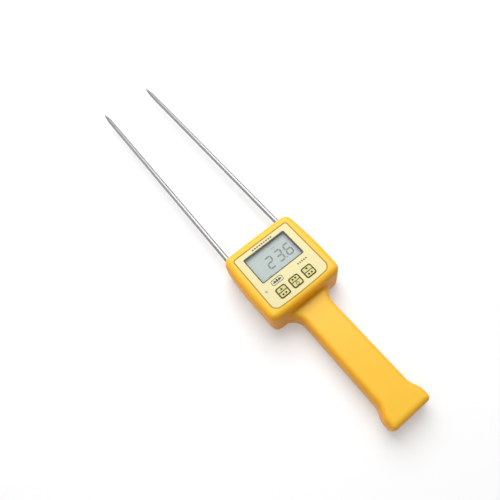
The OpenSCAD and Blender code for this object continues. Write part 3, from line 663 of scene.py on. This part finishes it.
def make_rear_shell(skin):
    shell = half_of(skin, "rear_shell_skin", False)
    inside = [(WALL, WALL + 1.2), (WALL + 1.5, WALL + DRAFT), (PARTING + 1, WALL)]
    head_inside = [(z, inset, BACK_BOW) for z, inset in inside[:2]] + [(PARTING, WALL), (PARTING + 1, WALL)]
    combine(shell, loft(head_inside, head_outline), "DIFFERENCE")
    combine(shell, loft(inside, handle_outline), "DIFFERENCE")
    posts = [cylinder(x, y, WALL - 0.5, PARTING - 0.2, SCREW_POST_R) for x, y in CASE_SCREWS]
    combine(shell, together(posts), "UNION")
    low, high = DOOR_END_Y - DOOR_GAP, DOOR_HINGE_Y + DOOR_NOSE + 2 * DOOR_GAP
    opening = box_outline(DOOR_W + 2 * DOOR_GAP, high - low, 0.6, 0, (low + high) / 2, 4)
    cutters = [cylinder(x, y, -1, SCREW_SEAT, SCREW_WELL_R) for x, y in CASE_SCREWS]
    cutters += probe_holes()
    cutters += [loft([(-1, 0), (WALL + 2, 0)], opening)]
    combine(shell, together(cutters), "DIFFERENCE")
    holes = [cylinder(x, y, SCREW_SEAT - 1, PARTING + 1, SCREW_HOLE_R) for x, y in CASE_SCREWS]
    combine(shell, together(holes), "DIFFERENCE")
    ball = [(DENT_R * math.sin(math.pi * i / 24), -DENT_R * math.cos(math.pi * i / 24)) for i in range(25)]
    combine(shell, lathe(ball, (0, low + 1, DENT_Z), (0, 0, 1), 48), "DIFFERENCE")
    settle(shell, YELLOW, replaced=["rear_shell"])


def make_casing():
    skin = whole_casing()
    make_front_shell(skin)
    make_rear_shell(skin)
    bpy.data.objects.remove(skin)


# ---------- face ----------

def make_label():
    label = new_object("label_film", plate(label_outline, LABEL_Z, LABEL_TOP, 0.12))
    combine(label, together(face_openings(LABEL_Z - 1, HEAD_T + 1)), "DIFFERENCE")
    settle(label, LABEL, replaced=["face_label"])


def label_print(name, outlines, material):
    """Printed marks on the label; outlines are functions of the inset."""
    marks = [plate(outline, LABEL_TOP, LABEL_TOP + PRINT_T, PRINT_EDGE, 1) for outline in outlines]
    add_piece(name, together(marks), material)


def make_label_print():
    # The border ring is partly print and partly painted shade: a dark line where the gap round the label
    # falls in shade.
    border = ring(lambda inset: label_outline(inset + 0.05), lambda inset: label_outline(inset + 1),
                  LABEL_TOP, LABEL_TOP + PRINT_T, PRINT_EDGE, 1)
    add_piece("label_border_and_gap_shade", border, LABEL_PRINT_AND_GAP_SHADE)
    title = [box_outline(1.75, 1.5, 0.3, 2.55 * i, LABEL_Y + 26.6, 3) for i in range(-4, 5)]
    label_print("title_marks", title, GREY_INK)
    model = [box_outline(1.3, 1.6, 0.3, 11.8 + 2.2 * i, LABEL_Y - 9.8, 3) for i in range(5)]
    label_print("model_marks", model, GREY_INK)
    make_emblem(-11.8, LABEL_Y - 9.8)


def make_emblem(x, y):
    """A generic badge: five grain kernels in a rounded frame."""
    label_print("emblem_field", [box_outline(11.4, 4.9, 1.5, x, y)], PALE_INK)
    rim = ring(box_outline(11.8, 5.4, 1.8, x, y), box_outline(10.7, 4.3, 1.25, x, y),
               LABEL_TOP, LABEL_TOP + 1.5 * PRINT_T, PRINT_EDGE, 1)
    add_piece("emblem_rim", rim, INK)
    kernels = [kernel_outline(x + dx, y + dy, size, turn) for dx, dy, size, turn in
               ((0, 0.2, 2.0, 90), (-2.1, 0.0, 1.9, 130), (2.1, 0.0, 1.9, 50), (-3.6, -0.3, 1.3, 150),
                (3.6, -0.3, 1.3, 30))]
    low, high = LABEL_TOP + PRINT_T * 0.5, LABEL_TOP + 2 * PRINT_T
    shapes = [join_loops([at_height(kernel, low), at_height(kernel, high)]) for kernel in kernels]
    add_piece("emblem_kernels", together(shapes), INK)


def kernel_outline(x, y, size, turn):
    """A grain kernel: a pointed oval, turned by an angle in degrees."""
    angle, steps = math.radians(turn), 10
    points = [(size * (2 * i / steps - 1), 0.42 * size * math.sin(math.pi * i / steps)) for i in range(steps)]
    points += [(-px, -py) for px, py in points]
    return [(x + px * math.cos(angle) - py * math.sin(angle), y + px * math.sin(angle) + py * math.cos(angle))
            for px, py in points]


def key_print(outline):
    return plate(outline, PRINT_LOW, PRINT_HIGH, PRINT_EDGE, 1)


def make_keys():
    for name, body, x in KEYS:
        cap = plate(box_outline(KEY_SIZE, KEY_SIZE, 1.8, x, KEY_Y), HEAD_T - 3, KEY_TOP, 0.25)
        flange = plate(box_outline(KEY_SIZE + 2.2, KEY_SIZE + 2.2, 2.4, x, KEY_Y), HEAD_T - 3.5,
                       HEAD_T - 2.51, 0.15, both=True)
        stem = lathe([(2.0, 0), (2.2, 0.2), (2.2, 4)], (x, KEY_Y, HEAD_T - 7), (0, 0, 1))
        add_piece(name + "_cap", together([cap, flange, stem]), KEY_FILM, body, [name])
        edge = ring(box_outline(KEY_SIZE - 0.2, KEY_SIZE - 0.2, 1.7, x, KEY_Y),
                    box_outline(KEY_SIZE - 2.1, KEY_SIZE - 2.1, 1.0, x, KEY_Y),
                    PRINT_LOW, PRINT_HIGH, PRINT_EDGE, 1)
        bar = key_print(box_outline(KEY_SIZE - 1.9, 0.8, 0.1, x, KEY_Y + 0.15, 2))
        add_piece(name + "_print", together([edge, bar] + key_marks(name, x)), INK, body)


def key_marks(name, x):
    """The symbols on one key: a triangle or a power ring, and plain squares in place of characters."""
    pair_y = KEY_Y + (2.6 if name == "key_power" else -2.4)
    marks = [key_print(box_outline(1.8, 1.6, 0.3, x + dx, pair_y, 2)) for dx in (-1.55, 1.45)]
    if name == "key_power":
        outer, inner = disc_outline(1.55, x, KEY_Y - 2.5), disc_outline(1.1, x, KEY_Y - 2.5)
        marks.append(ring(outer, inner, PRINT_LOW, PRINT_HIGH, PRINT_EDGE, 1))
        stroke = box_outline(0.4, 1.3, 0.1, x, KEY_Y - 1.2, 2)
        marks.append(plate(stroke, PRINT_LOW, PRINT_HIGH + PRINT_T, PRINT_EDGE, 1))
        return marks
    up = 1 if name == "key_up" else -1
    middle = KEY_Y + 2.6
    corners = [(x - 1.4, middle - up), (x + 1.4, middle - up), (x, middle + up * 1.1)]
    marks.append(join_loops([at_height(corners, PRINT_LOW), at_height(corners, PRINT_HIGH)]))
    return marks


def make_display():
    outer = box_outline(BEZEL_W, BEZEL_H, 1.4, 0, DISPLAY_Y)
    inner = box_outline(BEZEL_W - 1.8, BEZEL_H - 1.8, 0.9, 0, DISPLAY_Y)
    rim = ring(outer, inner, LCD_Z, HEAD_T - 0.02, 0.2)
    flange = ring(box_outline(BEZEL_W + 4, BEZEL_H + 4, 1.4, 0, DISPLAY_Y),
                  box_outline(BEZEL_W - 0.4, BEZEL_H - 0.4, 1.2, 0, DISPLAY_Y), LCD_Z, HEAD_T - 2.5, 0.1)
    add_piece("bezel", together([rim, flange]), BLACK, replaced=["display_bezel"])
    pane_outline = box_outline(BEZEL_W - 1.9, BEZEL_H - 1.9, 0.9, 0, DISPLAY_Y)
    pane = plate(pane_outline, HEAD_T - 1.2, HEAD_T - 0.2, 0.1)
    add_piece("window_pane", pane, WINDOW, replaced=["display_window"])
    front = block((-LCD_W / 2, DISPLAY_Y - LCD_H / 2, LCD_Z - LCD_T / 2),
                  (LCD_W / 2, DISPLAY_Y + LCD_H / 2, LCD_Z), 0.08)
    rear = block((-LCD_W / 2, DISPLAY_Y - LCD_H / 2 + LCD_LEDGE, LCD_Z - LCD_T),
                 (LCD_W / 2, DISPLAY_Y + LCD_H / 2 - LCD_LEDGE, LCD_Z - LCD_T / 2), 0.08)
    add_piece("display_glass", together([front, rear]), LCD, replaced=["lcd_panel"])
    make_reading()


DIGIT_H, DIGIT_W, STROKE, SLANT = 12.5, 7.4, 1.5, math.tan(math.radians(6.5))
SEGMENTS = {"2": "abged", "3": "abgcd", "6": "afgedc"}


def segment_outline(kind, x, y):
    """One of a digit's seven strokes, a bar with pointed ends."""
    w, h, s, gap = DIGIT_W - STROKE, (DIGIT_H - STROKE) / 2, STROKE / 2, 0.22
    left, low = x + s, y + s
    lying = {"a": (left, low + 2 * h), "g": (left, low + h), "d": (left, low)}
    standing = {"f": (left, low + h), "e": (left, low), "b": (left + w, low + h), "c": (left + w, low)}
    if kind in lying:
        px, py = lying[kind]
        points = [(px + gap, py), (px + gap + s, py - s), (px + w - gap - s, py - s), (px + w - gap, py),
                  (px + w - gap - s, py + s), (px + gap + s, py + s)]
    else:
        px, py = standing[kind]
        points = [(px, py + gap), (px + s, py + gap + s), (px + s, py + h - gap - s), (px, py + h - gap),
                  (px - s, py + h - gap - s), (px - s, py + gap + s)]
    return [(qx + (qy - y) * SLANT, qy) for qx, qy in points]


def make_reading():
    """The number on the display, as thin strokes on its glass, and two small bars above and below it."""
    base = LABEL_Y + 2.1
    strokes = [segment_outline(kind, x, base) for digit, x in (("2", -9.3), ("3", 1.2), ("6", 11.2))
               for kind in SEGMENTS[digit]]
    strokes.append(moved(rounded_box(0.6, 0.6, 0.2, 3), 10.0, base + 0.7))
    display_print("reading", strokes, SEGMENT)
    bars = [moved(rounded_box(2.3, 0.45, 0.1, 2), 5.4, LABEL_Y + 18.2),
            moved(rounded_box(2.4, 0.4, 0.1, 2), -13.1, LABEL_Y - 1.8)]
    display_print("small_bars", bars, FAINT)


def display_print(name, outlines, material):
    low, high = LCD_Z - 0.01, LCD_Z + 0.05
    marks = [join_loops([at_height(outline, low), at_height(outline, high)]) for outline in outlines]
    add_piece(name, together(marks), material)


def make_lens():
    low, high = (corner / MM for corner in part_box("indicator_lens"))
    top = high.z - low.z
    flange = HEAD_T - 3.5 - low.z
    profile = [(0, 0), (0.9, 0), (0.9, flange), (1.8, flange), (1.8, flange + 1), (0.9, flange + 1)]
    profile += [(0.9, top - 0.25), (0.75, top - 0.08), (0.4, top), (0, top)]
    add_piece("lens", lathe(profile, (LENS_X, LENS_Y, low.z), (0, 0, 1)), LENS,
              replaced=["indicator_lens"])


# ---------- probes ----------

def make_probes():
    rod = TIP_Y - POINT_LEN - SHOULDER_Y
    profile = [(0, -SHANK_LEN), (SHANK_R - 0.3, -SHANK_LEN), (SHANK_R, 0.3 - SHANK_LEN), (SHANK_R, 0)]
    profile += [(PROBE_R - 0.2, 0), (PROBE_R, 0.2)]
    profile += [(PROBE_R, rod * i / 12) for i in range(1, 13)]
    profile += [(PROBE_R - 0.35, rod + 2), (1.4, rod + 9), (0.95, rod + 11.6), (0.5, rod + 13.8)]
    profile += [(0.2, rod + 14.8), (0, rod + POINT_LEN)]
    for name, side in (("left", -1), ("right", 1)):
        origin = (side * PROBE_X, SHOULDER_Y, PROBE_Z)
        add_piece(f"probe_{name}_rod", lathe(profile, origin, (0, 1, 0), 40), STEEL,
                  replaced=[f"probe_{name}"])


# ---------- back ----------

def make_screws():
    """Casing screws with a cross recess."""
    core_r, face_z = SCREW_R - 0.25, SCREW_SEAT - SCREW_HEAD_T
    for number, (x, y) in enumerate(CASE_SCREWS, 1):
        length = HEAD_SCREW_LEN if (x, y) in HEAD_SCREWS else GRIP_SCREW_LEN
        profile = [(0, 0), (1.9, 0), (2.35, 0.15), (SCREW_HEAD_R, 0.5), (SCREW_HEAD_R, SCREW_HEAD_T),
                   (SCREW_R, SCREW_HEAD_T)]
        for turn in range(int(length / THREAD_PITCH) - 2):
            h = 2.6 + THREAD_PITCH * turn
            profile += [(core_r, h), (SCREW_R, h + 0.35), (SCREW_R, h + 0.45), (core_r, h + 0.8)]
        profile += [(0.9, SCREW_HEAD_T + length - 1.2), (0, SCREW_HEAD_T + length)]
        screw = new_object(f"case_screw_{number}", lathe(profile, (x, y, face_z), (0, 0, 1), 24))
        for a, b in ((1.5, 0.32), (0.32, 1.5)):
            arm = block((x - a, y - b, face_z - 1.2), (x + a, y + b, face_z + 0.9), 0.05)
            combine(screw, arm, "DIFFERENCE")
        settle(screw, ZINC, replaced=["case_screws"])


def make_door():
    """The battery door, with a grooved latch tongue at its end and two hooks under the casing."""
    length = DOOR_HINGE_Y - DOOR_END_Y
    middle = DOOR_END_Y + length / 2
    outline = box_outline(DOOR_W, length + DOOR_NOSE, 0.6, 0, middle + DOOR_NOSE / 2)
    door = new_object("door_panel", plate(outline, 0, DOOR_T, 0.25, both=True))
    slits = [block((x, DOOR_END_Y - 1, -1), (x + 0.8, DOOR_END_Y + 11, 4), 0.1) for x in (-7, 6.2)]
    first = DOOR_END_Y + 3
    grooves = [block((-4.5, first + 2 * i, -1), (4.5, first + 0.8 + 2 * i, 0.5), 0.1) for i in range(4)]
    combine(door, together(slits + grooves), "DIFFERENCE")
    tail, tip = DOOR_END_Y + 14.5, DOOR_END_Y + 12.2
    arrow = [(-2.6, tail), (0, tip), (2.6, tail), (0, tip + 1.2)]
    combine(door, join_loops([at_height(arrow, -1), at_height(arrow, 0.35)]), "DIFFERENCE")
    for start, stop, low, high, edge in ((-3, -0.6, DOOR_T - 0.5, WALL + 0.9, 0.1),
                                         (-3, 3.4, WALL + 0.1, WALL + 1, 0.15)):
        near, far = DOOR_HINGE_Y + start, DOOR_HINGE_Y + stop
        arms = [block((x - HOOK_HALF_W, near, low), (x + HOOK_HALF_W, far, high), edge)
                for x in (-HOOK_X, HOOK_X)]
        combine(door, together(arms), "UNION")
    settle(door, YELLOW, "door", ["battery_door"])


# ---------- inside ----------

def make_cells():
    """Dry cells with a jacket, a bare rim at each end and a button."""
    for number, up in ((1, -1), (2, -1), (3, 1), (4, 1)):
        low, high = (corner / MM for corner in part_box(f"cell_{number}"))
        r = (high.x - low.x) / 2
        origin = ((low.x + high.x) / 2, low.y if up > 0 else high.y, (low.z + high.z) / 2)
        length = high.y - low.y
        can = [(0, 0.15), (3.2, 0.15), (3.4, 0), (r - 0.5, 0), (r - 0.15, 0.15), (r - 0.1, 0.5)]
        can += [(r - 0.1, length - 1.6), (r - 0.5, length - 1.05), (2.6, length - 1)]
        can += [(1.9, length - 1), (1.9, length - 0.15), (1.75, length), (0, length)]
        add_piece(f"cell_{number}_can", lathe(can, origin, (0, up, 0), 40), TINNED,
                  replaced=[f"cell_{number}"])
        change = length * 0.72
        jacket = [(r - 0.12, 0.55), (r, 0.7), (r, change), (r - 0.12, change + 0.02)]
        add_piece(f"cell_{number}_jacket", lathe(jacket, origin, (0, up, 0), 40), JACKET)
        band = [(r - 0.12, change + 0.05), (r, change + 0.1), (r, length - 1.9), (r - 0.12, length - 1.7)]
        add_piece(f"cell_{number}_band", lathe(band, origin, (0, up, 0), 40), JACKET_BAND)


def make_springs():
    """The two coil springs that press on the cells, each a cone that narrows towards its cell."""
    low, high = (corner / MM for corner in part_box("contact_springs"))
    cell_low, cell_high = (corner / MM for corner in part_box("cell_1"))
    row_x = -(cell_low.x + cell_high.x) / 2
    z = (cell_low.z + cell_high.z) / 2
    wire, turns, steps = 0.35, 4, 96
    base_r, taper, spring_len = 4, 1.6, 4.4
    rise = spring_len - 2 * (wire + 0.05)
    coils = []
    for x, start, way in ((-row_x, high.y - wire, -1), (row_x, low.y + wire, 1)):
        path = []
        for i in range(steps + 1):
            t = i / steps
            angle, r = 2 * math.pi * turns * t, base_r - taper * t
            path.append((x + r * math.cos(angle), start + way * rise * t, z + r * math.sin(angle)))
        coils.append(sweep(path, wire, 10, (0, 1, 0)))
    add_piece("contact_coils", together(coils), TINNED, replaced=["contact_springs"])


def carry_over():
    """Materials of the CAD nodes that stay."""
    slot_of = {part["node"]: part["material_slot"] for part in frame["record"]["subparts"]}
    finish_of = {"yellow_abs": YELLOW, "label_film": LABEL, "black_abs": BLACK, "clear_acrylic": WINDOW,
                 "lcd_glass": LCD, "grey_abs": GREY, "conductive_rubber": RUBBER, "board_laminate": BOARD,
                 "zinc_steel": ZINC, "key_film": KEY_FILM, "black_nylon": BLACK, "white_nylon": NYLON,
                 "lens_plastic": LENS, "capacitor_sleeve": SLEEVE, "polished_steel": STEEL, "brass": BRASS,
                 "tinned_copper": TINNED, "red_wire": RED_WIRE, "black_wire": BLACK_WIRE,
                 "cell_jacket": JACKET, "foam": FOAM}
    for name, node in frame["nodes"].items():
        node.data.materials.clear()
        node.data.materials.append(finish_of[slot_of[name]])


add_camera()
add_studio()
carry_over()
make_casing()
make_label()
make_label_print()
make_keys()
make_display()
make_lens()
make_probes()
make_screws()
make_door()
make_cells()
make_springs()

bpy.context.view_layer.update()
